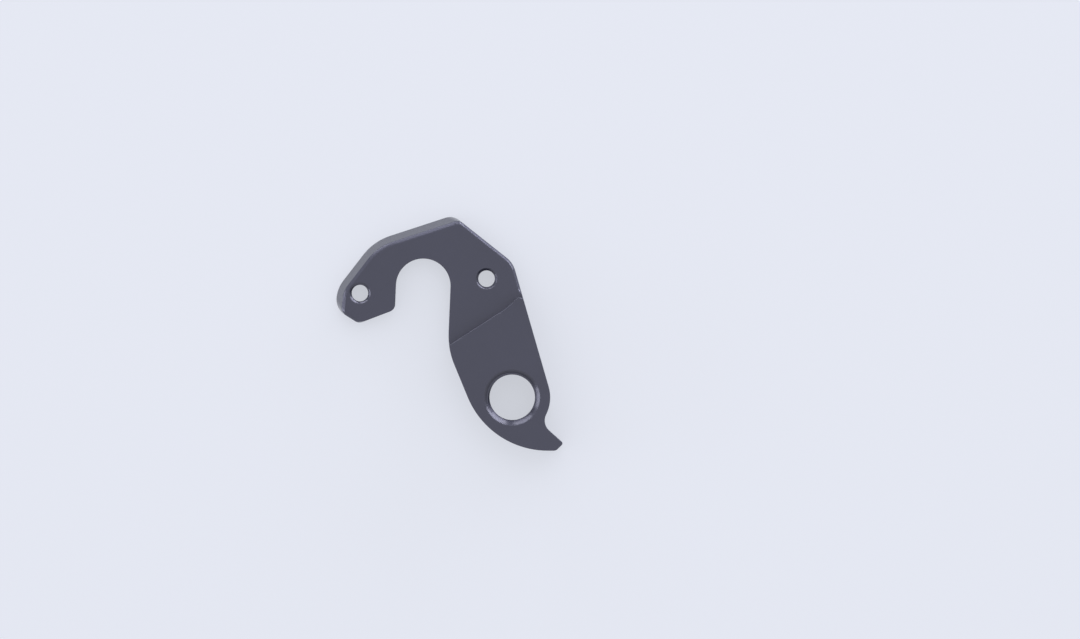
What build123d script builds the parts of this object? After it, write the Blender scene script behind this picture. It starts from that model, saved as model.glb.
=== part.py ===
from build123d import *
from math import asin, cos, degrees, radians, sin, sqrt, tan
import os

# Bicycle derailleur hanger, machined from one piece. Sizes in millimetres, angles in degrees.
# The origin is where the axis of the derailleur thread meets the plane of the dropout's seat.
# +Z points inboard, to the dropout that the plate is bolted to, +X to the rear and +Y up.

# Thicknesses
plate_thickness = 4.0  # outboard of the dropout's seat
step_height = 4.0  # what the heavy end adds, inboard of it
wall_lean_angle = 20.5  # of the plate's top and front walls
edge_chamfer = 0.5  # along the plate's inboard edge

# Slot for the rear axle, open at the bottom
axle_diameter = 10.0
axle_gap = 0.35  # on each side of the axle
axle_ahead = 17.45  # from the derailleur thread, towards -X
axle_up = 21.85  # from the derailleur thread, along Y
slot_lean_angle = 2.4

# Derailleur thread, M10 x 1, through the boss
pivot_bore = 8.92  # the thread's inner diameter
pivot_countersink = 1.04  # width and depth, at each face
boss_wall = 3.0

# Two frame bolt threads, M4 x 0.7, one each side of the axle
bolt_bore = 3.24
bolt_countersink = 0.48
bolt_pitch = 25.0
bolt_line_angle = 6.5

# Sides of the plate: the angle that each one faces, and its distance from the axle
shoulder_angle = 51.6
shoulder_distance = 14.5
top_angle = 108.1
top_distance = 11.4
slope_angle = 142.3
slope_distance = 13.1
front_angle = 173.5
front_distance = 16.7
arm_end_angle = 237.2
arm_end_distance = 13.1
arm_bottom_angle = 290.8
arm_bottom_distance = 2.4

# Sides of the limb below the plate
rear_angle = 16.1  # tangent to the boss
limb_angle = 202.4
limb_distance = 8.05  # from the derailleur thread

# Claw that stops the derailleur's swing
claw_angle = -41.8  # its upper face is radial to the thread
claw_reach = 13.5  # from the thread's axis to the tip
claw_end_length = 2.08
claw_end_angle = 314.3
claw_bottom_angle = 270.0
claw_land = 1.2  # straight stretch of the claw's bottom

# Radii of the outline
shoulder_round = 5.0
top_round = 2.85
slope_bend = 10.8
front_bend = 6.3
front_round = 3.6
rim_round = 1.5  # top and front corners at the inboard face
arm_round = 0.8
limb_bend = 15.0
crook_round = 2.65
tip_round = 0.45
land_round = 1.0

# Step up to the heavy end, where the dropout's lower edge seats
step_angle = 32.7
step_distance = 12.6  # from the axle
step_bend = 16.0
rise_angle = 45.0  # the step's steeper stretch near the rear
rise_inset = 3.62  # from the rear side to where it starts
fall_angle = -16.4  # from the step's highest corner down to the rear side
fall_inset = 0.92  # from the rear side to that corner
fall_round = 0.5

# Run-out of the chamfer, where its cutter lifted off short of the step
runout_gap = 2.3
cutter_radius = 2.0

# Reach of the cutting profiles past the outline
overrun = 20.0


def toward(angle):
    return Vector(cos(radians(angle)), sin(radians(angle)))


def side(centre, distance, facing):
    # A straight side at a distance from a centre, running anticlockwise round it
    return Axis(centre + toward(facing) * distance, toward(facing + 90))


def corner(first, second):
    return first.intersect(second)


def setback(radius, turn):
    # Length that a rounded corner takes from each of its sides
    return radius * tan(radians(turn / 2))


thread = Vector(0, 0)
axle = Vector(-axle_ahead, axle_up)
outboard = Plane.XY.offset(-plate_thickness)

# Sides that stand square to the face
boss_radius = pivot_bore / 2 + boss_wall
shoulder = side(axle, shoulder_distance, shoulder_angle)
arm_end = side(axle, arm_end_distance, arm_end_angle)
arm_bottom = side(axle, arm_bottom_distance, arm_bottom_angle)
rear = side(thread, boss_radius, rear_angle)
limb = side(thread, limb_distance, limb_angle)

# Walls of the axle slot
slot_radius = axle_diameter / 2 + axle_gap
slot_right = axle + toward(-slot_lean_angle) * slot_radius
slot_top = axle + toward(90 - slot_lean_angle) * slot_radius
slot_left = axle + toward(180 - slot_lean_angle) * slot_radius
slot_down = toward(270 - slot_lean_angle)
limb_wall = Axis(slot_right, slot_down)
arm_toe = corner(arm_end, arm_bottom)
arm_corner = corner(Axis(slot_left, slot_down), arm_bottom)

# Claw, and the arc from its bottom up to the limb
claw_tip = thread + toward(claw_angle) * claw_reach
claw_heel = claw_tip - toward(claw_end_angle + 90) * claw_end_length
belly_corner = corner(side(claw_heel, 0, claw_bottom_angle), limb)
land_end = setback(land_round, claw_end_angle - claw_bottom_angle) + claw_land
belly_setback = (claw_heel - belly_corner).length - land_end
belly_round = belly_setback / tan(radians((claw_bottom_angle - limb_angle) / 2))

# Crook between the boss and the claw's radial face, tangent to both
crook_reach = boss_radius + crook_round
crook_angle = claw_angle + degrees(asin(crook_round / crook_reach))
crook_centre = thread + toward(crook_angle) * crook_reach
crook_start = thread + toward(claw_angle) * sqrt(crook_reach**2 - crook_round**2)
crook_end = thread + toward(crook_angle) * boss_radius
crook_middle = crook_centre - toward((crook_angle + claw_angle + 90) / 2) * crook_round
boss_middle = thread + toward((crook_angle + rear_angle) / 2) * boss_radius
boss_end = thread + toward(rear_angle) * boss_radius

# Step
step = side(axle, step_distance, step_angle - 90)
rise_start = corner(step, side(thread, boss_radius - rise_inset, rear_angle))
peak = corner(Axis(rise_start, toward(rise_angle)), side(thread, boss_radius - fall_inset, rear_angle))
step_end = corner(rear, Axis(peak, toward(fall_angle)))

# The plate's chamfer ends at this line across the limb
runout = step_end + toward(rear_angle + 90) * runout_gap
runout_line = Axis(runout, toward(rear_angle))
blank_corner = corner(arm_end, runout_line)


def draw_plate(lean, top_radius, front_radius):
    # Outline of the plate above the run-out line, with its top and front sides set in by the lean
    top = side(axle, top_distance - lean, top_angle)
    slope = side(axle, slope_distance - lean, slope_angle)
    front = side(axle, front_distance - lean, front_angle)
    FilletPolyline(
        runout,
        corner(rear, shoulder),
        corner(shoulder, top),
        corner(top, slope),
        corner(slope, front),
        corner(front, arm_end),
        blank_corner,
        radius=[shoulder_round, top_radius, slope_bend - lean, front_bend - lean, front_radius],
    )
    Line(blank_corner, runout)


with BuildPart() as head:
    # The plate above the run-out line, from its outboard face to its leaner inboard one
    with BuildSketch(outboard):
        with BuildLine():
            draw_plate(0, top_round, front_round)
        make_face()
    with BuildSketch():
        with BuildLine():
            draw_plate(plate_thickness * tan(radians(wall_lean_angle)), rim_round, rim_round)
        make_face()
    loft(ruled=True)

    # Chamfer round the inboard face, as far as the run-out line
    rim = head.faces().sort_by(Axis.Z)[-1].edges()
    chamfer(rim.sort_by_distance((blank_corner + runout) / 2)[1:], length=edge_chamfer)

    # Axle slot and the open space under the arm
    arm_out = arm_toe + toward(arm_bottom_angle - 90) * overrun
    slot_foot = slot_right + slot_down * 2 * overrun
    with BuildSketch():
        with BuildLine():
            ThreePointArc(slot_right, slot_top, slot_left)
            Polyline(slot_left, arm_corner, arm_out, (arm_out.X, slot_foot.Y), slot_foot, slot_right)
        make_face()
    extrude(amount=-plate_thickness, mode=Mode.SUBTRACT)

with BuildPart() as hanger:
    # The limb below the plate, with the boss and the claw
    with BuildSketch(outboard) as limb_outline:
        with BuildLine():
            Line(runout, boss_end)
            ThreePointArc(boss_end, boss_middle, crook_end)
            ThreePointArc(crook_end, crook_middle, crook_start)
            FilletPolyline(
                crook_start,
                claw_tip,
                claw_heel,
                belly_corner,
                corner(limb, limb_wall),
                corner(limb_wall, runout_line),
                radius=[tip_round, land_round, belly_round, limb_bend],
            )
            Line(corner(limb_wall, runout_line), runout)
        make_face()
    extrude(amount=plate_thickness)

    # Cone left by the chamfer's cutter
    cutter_tip = cutter_radius - edge_chamfer
    with Locations(runout + toward(rear_angle) * cutter_tip):
        Cone(
            bottom_radius=cutter_tip,
            top_radius=cutter_radius + edge_chamfer,
            height=2 * edge_chamfer,
            mode=Mode.SUBTRACT,
        )

    # The heavy end stands up inboard, below the step
    step_start = rise_start - toward(step_angle) * 2 * overrun
    step_out = peak + toward(fall_angle) * overrun
    with BuildSketch():
        add(limb_outline.sketch_local)
        with BuildLine():
            FilletPolyline(step_start, rise_start, peak, step_out, radius=[step_bend, fall_round])
            Polyline(
                step_out,
                (step_out.X, step_out.Y + 2 * overrun),
                (step_start.X, step_out.Y + 2 * overrun),
                step_start,
            )
        make_face(mode=Mode.SUBTRACT)
    extrude(amount=step_height)

    add(head.part)

    # Rounded corners of the arm beside the slot
    upright = hanger.edges().filter_by(Axis.Z)
    fillet([upright.sort_by_distance(place)[0] for place in (arm_toe, arm_corner)], radius=arm_round)

    # Threaded holes, countersunk at both faces
    bolt_way = toward(bolt_line_angle) * bolt_pitch / 2
    for centre, bore, countersink, inboard in (
        (thread, pivot_bore, pivot_countersink, step_height),
        (axle - bolt_way, bolt_bore, bolt_countersink, 0),
        (axle + bolt_way, bolt_bore, bolt_countersink, 0),
    ):
        mouth = bore / 2 + countersink
        with Locations(centre):
            Hole(radius=bore / 2)
        with Locations(centre + Vector(0, 0, countersink / 2 - plate_thickness)):
            Cone(mouth, bore / 2, countersink, mode=Mode.SUBTRACT)
        with Locations(centre + Vector(0, 0, inboard - countersink / 2)):
            Cone(bore / 2, mouth, countersink, mode=Mode.SUBTRACT)

hanger.part.label = "hanger"
os.makedirs("parts", exist_ok=True)
export_step(hanger.part, "parts/hanger.step")
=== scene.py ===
from math import cos, pi, radians, sin, tan

import bmesh
import bpy
from mathutils import Matrix, Vector


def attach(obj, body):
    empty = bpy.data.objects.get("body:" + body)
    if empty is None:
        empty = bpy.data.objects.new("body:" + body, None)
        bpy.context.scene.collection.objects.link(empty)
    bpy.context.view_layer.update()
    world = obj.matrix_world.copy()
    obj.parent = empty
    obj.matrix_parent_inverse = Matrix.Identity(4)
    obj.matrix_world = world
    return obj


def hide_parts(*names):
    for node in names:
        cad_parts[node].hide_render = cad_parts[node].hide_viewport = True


# Bicycle derailleur hanger, seen from above as it lies on its outboard face.
# Its mesh is made in millimetres and brought to metres at the end.

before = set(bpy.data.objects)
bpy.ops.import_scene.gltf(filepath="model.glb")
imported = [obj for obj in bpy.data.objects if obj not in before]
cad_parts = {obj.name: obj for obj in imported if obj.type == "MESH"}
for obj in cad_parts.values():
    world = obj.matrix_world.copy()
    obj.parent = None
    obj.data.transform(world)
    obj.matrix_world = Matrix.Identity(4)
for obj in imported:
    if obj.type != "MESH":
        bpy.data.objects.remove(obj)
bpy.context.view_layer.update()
scene = bpy.context.scene
mm = 0.001


def linear(hexColour):
    # sRGB hex to the linear colour that the shaders take
    parts = [int(hexColour[i : i + 2], 16) / 255 for i in (1, 3, 5)]
    return [p / 12.92 if p <= 0.04045 else ((p + 0.055) / 1.055) ** 2.4 for p in parts] + [1.0]


def addNode(tree, kind, links=None, **settings):
    # A node with its settings. links: its socket -> a value, or another node's output
    node = tree.nodes.new(kind)
    for name, value in settings.items():
        setattr(node, name, value)
    for socket, value in (links or {}).items():
        if isinstance(value, bpy.types.NodeSocket):
            tree.links.new(value, node.inputs[socket])
        else:
            node.inputs[socket].default_value = value
    return node


def newMaterial(name):
    made = bpy.data.materials.new(name)
    made.use_nodes = True
    made.node_tree.nodes.clear()
    return made, made.node_tree


# Anodised aluminium, on the faces that were milled and in the holes that were tapped. Lengths are
# in millimetres. grain and feed are drawn coarser than they are, 0.1 and 0.2, because those are
# too fine to show
milled = {
    "name": "anodisedMilledAluminium",
    "dye": "#3a3b4b",
    "dyePale": "#404152",
    "cloud": 9.0,
    "roughness": 0.42,
    "roughnessSwing": 0.06,
    "skinRoughness": 0.25,
    "skinIndex": 1.62,
    "grain": 0.35,
    "grainDepth": 0.004,
    "flankStretch": 0.06,
    "feed": 0.9,
    "feedDepth": 0.003,
    "faceMillRadius": 40.0,
    "faceFrom": 0.96,
    "faceTo": 0.99,
}
tapped = {
    **milled,
    "name": "anodisedTappedAluminium",
    "roughness": 0.34,
    "grain": 0.2,
    "grainDepth": 0.002,
    "flankStretch": 1.0,
    "feedDepth": 0.0,
}


def anodisedAluminium(spec):
    # 7075 aluminium, machined, lightly blasted, then anodised and dyed slate grey.
    # To the eye: a dark satin metal under a thin clear skin that pales where it's seen aslant,
    # with faint milling arcs on its flat faces and upright marks of the cutter's flank on its walls
    made, tree = newMaterial(spec["name"])
    place = addNode(tree, "ShaderNodeTexCoord")

    # blasted grain, drawn out along the cutter's axis, so that it's streaks on the walls
    stretched = addNode(
        tree,
        "ShaderNodeMapping",
        {"Vector": place.outputs["Object"], "Scale": (1 / mm, 1 / mm, spec["flankStretch"] / mm)},
    )
    grain = addNode(
        tree,
        "ShaderNodeTexNoise",
        {
            "Vector": stretched.outputs[0],
            "Scale": 1 / spec["grain"],
            "Detail": 3.0,
            "Roughness": 0.6,
        },
    )

    # slow cloudiness of the dye
    cloud = addNode(
        tree,
        "ShaderNodeTexNoise",
        {
            "Vector": place.outputs["Object"],
            "Scale": 1 / (spec["cloud"] * mm),
            "Detail": 3.0,
            "Roughness": 0.55,
        },
    )
    dye = addNode(
        tree,
        "ShaderNodeMix",
        {0: cloud.outputs["Fac"], 6: linear(spec["dye"]), 7: linear(spec["dyePale"])},
        data_type="RGBA",
    )

    # arcs of a face mill: x + sqrt(radius2 - y2), with a crest for each turn's feed
    axes = addNode(tree, "ShaderNodeSeparateXYZ", {"Vector": place.outputs["Object"]})
    squared = addNode(tree, "ShaderNodeMath", {0: axes.outputs["Y"], 1: 2.0}, operation="POWER")
    left = addNode(
        tree,
        "ShaderNodeMath",
        {0: (spec["faceMillRadius"] * mm) ** 2, 1: squared.outputs[0]},
        operation="SUBTRACT",
    )
    reach = addNode(tree, "ShaderNodeMath", {0: left.outputs[0]}, operation="SQRT")
    along = addNode(
        tree, "ShaderNodeMath", {0: axes.outputs["X"], 1: reach.outputs[0]}, operation="ADD"
    )
    turns = addNode(
        tree,
        "ShaderNodeMath",
        {0: along.outputs[0], 1: 2 * pi / (spec["feed"] * mm)},
        operation="MULTIPLY",
    )
    crest = addNode(tree, "ShaderNodeMath", {0: turns.outputs[0]}, operation="SINE")

    # only the flat faces were passed over by the face mill
    facing = addNode(tree, "ShaderNodeSeparateXYZ", {"Vector": place.outputs["Normal"]})
    upright = addNode(tree, "ShaderNodeMath", {0: facing.outputs["Z"]}, operation="ABSOLUTE")
    onFace = addNode(
        tree,
        "ShaderNodeMapRange",
        {"Value": upright.outputs[0], "From Min": spec["faceFrom"], "From Max": spec["faceTo"]},
    )
    arcs = addNode(
        tree, "ShaderNodeMath", {0: crest.outputs[0], 1: onFace.outputs[0]}, operation="MULTIPLY"
    )
    fading = addNode(
        tree, "ShaderNodeMath", {0: arcs.outputs[0], 1: cloud.outputs["Fac"]}, operation="MULTIPLY"
    )

    feedMarks = addNode(
        tree, "ShaderNodeBump", {"Height": fading.outputs[0], "Distance": spec["feedDepth"] * mm}
    )
    blasted = addNode(
        tree,
        "ShaderNodeBump",
        {
            "Height": grain.outputs["Fac"],
            "Distance": spec["grainDepth"] * mm,
            "Normal": feedMarks.outputs[0],
        },
    )
    rough = addNode(
        tree,
        "ShaderNodeMapRange",
        {
            "Value": grain.outputs["Fac"],
            "To Min": spec["roughness"] - spec["roughnessSwing"],
            "To Max": spec["roughness"] + spec["roughnessSwing"],
        },
    )
    shader = addNode(
        tree,
        "ShaderNodeBsdfPrincipled",
        {
            "Base Color": dye.outputs[2],
            "Metallic": 1.0,
            "Roughness": rough.outputs[0],
            "Coat Weight": 1.0,
            "Coat Roughness": spec["skinRoughness"],
            "Coat IOR": spec["skinIndex"],
            "Normal": blasted.outputs[0],
            "Coat Normal": blasted.outputs[0],
        },
    )
    addNode(tree, "ShaderNodeOutputMaterial", {"Surface": shader.outputs[0]})
    return made


# The hanger, in millimetres and degrees. edgeBreak is what the deburring took off the edges that
# turn by more than sharpAngle. Edges that turn by less than smoothAngle are shaded round.
# rootFlat and ridgeSunk are shares of a thread's pitch
hangerSizes = {
    "outboardZ": -4.0,
    "edgeBreak": 0.12,
    "edgeSteps": 3,
    "sharpAngle": 31,
    "smoothAngle": 33,
    "armRadius": 1.6,
    "toe": (-30.158, 14.455),
    "toeReach": 0.7,
    "toeTurn": 53.6,
    "toeSteps": 8,
    "corner": (-23.001, 17.174),
    "cornerReach": 0.6,
    "cornerRadiusInCad": 0.8,
    "boreFacets": 144,
    "mouthRound": 0.08,
    "drillPast": 0.5,
    "drillFlare": 0.02,
    "threadFacets": 72,
    "rootFlat": 1 / 8,
    "flankAngle": 30,
    "ridgeSunk": 0.06,
    "sliver": 0.001,
    "weld": 0.0005,
    "flatAngle": 0.3,
    "aroundHole": 0.01,
    "levelFrom": 0.99,
}

# The holes. minor and major are the thread's inner and outer radius, countersink is the width and
# depth of the cone at each face, and rise is how high the groove starts at angle 0.
# The M10 thread's rise is read from where it runs out in the photo
m4 = {"minor": 1.62, "major": 2.0, "pitch": 0.7, "countersink": 0.48, "inboardZ": 0.0}
holes = {
    "pivot": {
        "axis": (0.0, 0.0),
        "minor": 4.46,
        "major": 5.0,
        "pitch": 1.0,
        "countersink": 1.04,
        "inboardZ": 4.0,
        "rise": -0.043,
    },
    "frontBolt": {**m4, "axis": (-29.870, 20.435), "rise": 0.1},
    "rearBolt": {**m4, "axis": (-5.030, 23.265), "rise": 0.4},
}


def meshObject(name, points, faces, material):
    mesh = bpy.data.meshes.new(name)
    mesh.from_pydata(points, [], faces)
    mesh.materials.append(material)
    made = bpy.data.objects.new(name, mesh)
    scene.collection.objects.link(made)
    return made


def boreCutter(name, hole, material, sizes):
    # Drill and countersinks in one, turned about the hole's axis. The mouths are rounded
    x, y = hole["axis"]
    bore, sink, low, high = hole["minor"], hole["countersink"], sizes["outboardZ"], hole["inboardZ"]
    mouth, r = bore + sink, sizes["mouthRound"]
    # half the profile: radius, and depth below the face
    half = [
        (bore, sink),
        (mouth - r / 2, r / 2),
        (mouth + r / 6, r / 12),
        (mouth + r, -sizes["sliver"]),
        (mouth + r + sizes["drillFlare"], -sizes["drillPast"]),
    ]
    profile = [(p, low + d) for p, d in reversed(half)] + [(p, high - d) for p, d in half]
    facets, rows = sizes["boreFacets"], len(profile)
    points, faces = [], []
    for i in range(facets):
        a = 2 * pi * i / facets
        points += [(x + p * cos(a), y + p * sin(a), z) for p, z in profile]
        j = (i + 1) % facets
        for k in range(rows - 1):
            faces.append((i * rows + k, j * rows + k, j * rows + k + 1, i * rows + k + 1))
    faces.append([i * rows for i in reversed(range(facets))])
    faces.append([i * rows + rows - 1 for i in range(facets)])
    return meshObject(name + "Bore", points, faces, material)


def threadCutter(name, hole, material, sizes):
    # The tap: a 60 degree ridge wound along the bore. It starts and ends clear of both faces
    x, y = hole["axis"]
    major, pitch, facets = hole["major"], hole["pitch"], sizes["threadFacets"]
    inner = hole["minor"] - sizes["ridgeSunk"] * pitch
    rootHalf = pitch * sizes["rootFlat"] / 2
    mouthHalf = rootHalf + (major - inner) * tan(radians(sizes["flankAngle"]))
    ridge = ((inner, -mouthHalf), (major, -rootHalf), (major, rootHalf), (inner, mouthHalf))
    low, high = sizes["outboardZ"] - pitch + hole["rise"], hole["inboardZ"] + pitch
    steps = round((high - low) / pitch * facets)
    points, faces = [], []
    for i in range(steps + 1):
        a = 2 * pi * i / facets
        z = low + pitch * i / facets
        points += [(x + r * cos(a), y + r * sin(a), z + dz) for r, dz in ridge]
    for i in range(steps):
        for k in range(4):
            m = (k + 1) % 4
            faces.append((i * 4 + k, (i + 1) * 4 + k, (i + 1) * 4 + m, i * 4 + m))
    faces.append((0, 1, 2, 3))
    faces.append([steps * 4 + k for k in (3, 2, 1, 0)])
    return meshObject(name + "Tap", points, faces, material)


def applyModifier(piece, kind, **settings):
    added = piece.modifiers.new(kind.lower(), kind)
    for name, value in settings.items():
        setattr(added, name, value)
    applied = bpy.data.meshes.new_from_object(
        piece.evaluated_get(bpy.context.evaluated_depsgraph_get())
    )
    piece.modifiers.clear()
    old, piece.data = piece.data, applied
    bpy.data.meshes.remove(old)


def cut(piece, cutter):
    # The cutter's material goes on what it cuts
    applyModifier(
        piece,
        "BOOLEAN",
        object=cutter,
        operation="DIFFERENCE",
        solver="EXACT",
        material_mode="TRANSFER",
    )
    bpy.data.objects.remove(cutter)


def roundArm(solid, sizes):
    # The two corners of the arm's end, which the photo shows rounder than the CAD solid has them.
    # The solid's toe is sharp, so its upright edge is rounded, with the short one that ends the
    # chamfer above it
    toe = Vector(sizes["toe"])
    edges = [
        edge
        for edge in solid.edges
        if all((vert.co.xy - toe).length < sizes["toeReach"] for vert in edge.verts)
    ]
    bmesh.ops.bevel(
        solid,
        geom=edges,
        offset=sizes["armRadius"] * tan(radians(sizes["toeTurn"] / 2)),
        offset_type="OFFSET",
        segments=sizes["toeSteps"],
        profile=0.5,
        affect="EDGES",
    )
    # The corner beside the slot: its arc grows about the sharp corner, and so stays tangent
    corner = Vector(sizes["corner"])
    for vert in solid.verts:
        out = vert.co.xy - corner
        if out.length < sizes["cornerReach"]:
            vert.co.xy = corner + out * sizes["armRadius"] / sizes["cornerRadiusInCad"]


def blankFromCad(sizes):
    # The CAD solid in millimetres, with its holes stopped up, so that they can be cut round
    solid = bmesh.new()
    solid.from_mesh(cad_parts["hanger"].data)
    bmesh.ops.scale(solid, vec=(1 / mm,) * 3, verts=solid.verts)
    bmesh.ops.remove_doubles(solid, verts=solid.verts, dist=sizes["weld"])
    inHoles = []
    for face in solid.faces:
        middle = face.calc_center_median()
        for hole in holes.values():
            mouth = hole["minor"] + hole["countersink"]
            near = (middle.xy - Vector(hole["axis"])).length < mouth + sizes["aroundHole"]
            if near and abs(face.normal.z) < sizes["levelFrom"]:
                inHoles.append(face)
    bmesh.ops.delete(solid, geom=inHoles, context="FACES")
    bmesh.ops.holes_fill(solid, edges=[e for e in solid.edges if e.is_boundary])
    bmesh.ops.recalc_face_normals(solid, faces=solid.faces)
    bmesh.ops.dissolve_limit(
        solid, angle_limit=radians(sizes["flatAngle"]), verts=solid.verts, edges=solid.edges
    )
    roundArm(solid, sizes)
    mesh = bpy.data.meshes.new("hangerMachined")
    solid.to_mesh(mesh)
    solid.free()
    piece = bpy.data.objects.new("hangerMachined", mesh)
    scene.collection.objects.link(piece)
    return piece


def smoothShading(mesh, sizes):
    # The cuts leave faces some thousandths of a millimetre wide, which would catch the light, so
    # they are cleared away. Edges over the angle stay sharp, and so do those where the tap's cut
    # meets the milled surface
    cuts = bmesh.new()
    cuts.from_mesh(mesh)
    bmesh.ops.remove_doubles(cuts, verts=cuts.verts, dist=sizes["sliver"])
    bmesh.ops.dissolve_degenerate(cuts, edges=cuts.edges, dist=sizes["sliver"])
    cuts.normal_update()
    for face in cuts.faces:
        face.smooth = True
    for edge in cuts.edges:
        materials = {face.material_index for face in edge.link_faces}
        turn = edge.calc_face_angle(0)
        edge.smooth = len(materials) == 1 and turn < radians(sizes["smoothAngle"])
    print("open edges:", sum(not edge.is_manifold for edge in cuts.edges))
    cuts.to_mesh(mesh)
    cuts.free()


def makeHanger(sizes):
    piece = blankFromCad(sizes)
    face, thread = anodisedAluminium(milled), anodisedAluminium(tapped)
    piece.data.materials.append(face)
    applyModifier(
        piece,
        "BEVEL",
        width=sizes["edgeBreak"],
        segments=sizes["edgeSteps"],
        limit_method="ANGLE",
        angle_limit=radians(sizes["sharpAngle"]),
        use_clamp_overlap=False,
        miter_outer="MITER_ARC",
    )
    for name, hole in holes.items():
        cut(piece, boreCutter(name, hole, face, sizes))
    for name, hole in holes.items():
        cut(piece, threadCutter(name, hole, thread, sizes))
    smoothShading(piece.data, sizes)
    piece.data.transform(Matrix.Scale(mm, 4))
    weighted = piece.modifiers.new("weighted", "WEIGHTED_NORMAL")
    weighted.keep_sharp = True
    return piece


hanger = makeHanger(hangerSizes)
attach(hanger, "root")
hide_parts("hanger")
print("hanger:", len(hanger.data.polygons), "faces")

# The floor. glow is the share of its own colour that the eye sees unshaded, and width is in metres
floorLook = {
    "colour": "#e7eaf2",
    "glow": 0.65,
    "width": 6.0,
}


def paintedBoard(spec):
    # Matt painted board: plain, pale and very slightly blue. Part of what the eye sees of it
    # is its own colour unshaded, as on a lit table, so that its shadows stay light
    made, tree = newMaterial("paintedBoard")
    paint = addNode(tree, "ShaderNodeBsdfDiffuse", {"Color": linear(spec["colour"])})
    light = addNode(tree, "ShaderNodeEmission", {"Color": linear(spec["colour"])})
    ray = addNode(tree, "ShaderNodeLightPath")
    seen = addNode(
        tree,
        "ShaderNodeMath",
        {0: ray.outputs["Is Camera Ray"], 1: ray.outputs["Is Glossy Ray"]},
        operation="MAXIMUM",
    )
    seenOrThrough = addNode(
        tree,
        "ShaderNodeMath",
        {0: seen.outputs[0], 1: ray.outputs["Is Transmission Ray"]},
        operation="MAXIMUM",
    )
    share = addNode(
        tree, "ShaderNodeMath", {0: seenOrThrough.outputs[0], 1: spec["glow"]}, operation="MULTIPLY"
    )
    both = addNode(
        tree, "ShaderNodeMixShader", {0: share.outputs[0], 1: paint.outputs[0], 2: light.outputs[0]}
    )
    addNode(tree, "ShaderNodeOutputMaterial", {"Surface": both.outputs[0]})
    return made


half = floorLook["width"] / 2
floorZ = hangerSizes["outboardZ"] * mm
floor = meshObject(
    "floor",
    [(-half, -half, floorZ), (half, -half, floorZ), (half, half, floorZ), (-half, half, floorZ)],
    [(0, 1, 2, 3)],
    paintedBoard(floorLook),
)
print("floor: at z", floorZ)

# Where each softbox stands: degrees round from +X and up from the floor. share is how much of the
# floor's light it gives. The low strips show in the chamfers and hardly light the floor.
# Their widths and heights are in metres, as is lampDistance
softboxes = {
    "above": {"round": 70, "up": 60, "width": 0.5, "height": 0.5, "share": 0.08},
    "lowKey": {"round": 50, "up": 9, "width": 0.9, "height": 0.16, "share": 0.07},
    "lowTop": {"round": 115, "up": 9, "width": 0.7, "height": 0.16, "share": 0.035},
    "lowFront": {"round": 180, "up": 9, "width": 0.7, "height": 0.16, "share": 0.035},
}
room = {
    "colour": "#edeef4",
    "lampColour": "#e4e4f4",
    "strength": 0.92,
    "lampDistance": 0.9,
}

for name, box in softboxes.items():
    around, up = radians(box["round"]), radians(box["up"])
    outward = Vector((cos(around) * cos(up), sin(around) * cos(up), sin(up)))
    light = bpy.data.lights.new(name, "AREA")
    light.shape = "RECTANGLE"
    light.size, light.size_y = box["width"], box["height"]
    light.color = linear(room["lampColour"])[:3]
    # a lamp of power P gives the floor P * sin(up) / (pi * distance2), and pi is the full light
    light.energy = box["share"] * pi * pi * room["lampDistance"] ** 2 / sin(up)
    lamp = bpy.data.objects.new(name, light)
    scene.collection.objects.link(lamp)
    lamp.location = outward * room["lampDistance"]
    lamp.rotation_euler = (-outward).to_track_quat("-Z", "Y").to_euler()
    lamp.visible_camera = False

world = bpy.data.worlds.new("room")
scene.world = world
world.use_nodes = True
world.node_tree.nodes.clear()
air = addNode(
    world.node_tree,
    "ShaderNodeBackground",
    {"Color": linear(room["colour"]), "Strength": room["strength"]},
)
addNode(world.node_tree, "ShaderNodeOutputWorld", {"Surface": air.outputs[0]})
print("light:", len(softboxes), "softboxes")

# The camera stands straight above, with a long lens, since the photograph shows no perspective.
# aim and frameWidth are in millimetres, clip is in metres
shot = {
    "aim": (5.451, 15.255),
    "frameWidth": 211.76,
    "lens": 600.0,
    "sensor": 36.0,
    "clip": (0.1, 20.0),
}
cameraData = bpy.data.cameras.new("camera")
cameraData.lens = shot["lens"]
cameraData.sensor_width = shot["sensor"]
cameraData.clip_start, cameraData.clip_end = shot["clip"]
camera = bpy.data.objects.new("camera", cameraData)
scene.collection.objects.link(camera)
distance = shot["frameWidth"] * mm * shot["lens"] / shot["sensor"]
camera.location = (shot["aim"][0] * mm, shot["aim"][1] * mm, distance)
scene.camera = camera
scene.view_settings.view_transform = "Standard"
print("camera:", round(distance, 2), "m up")
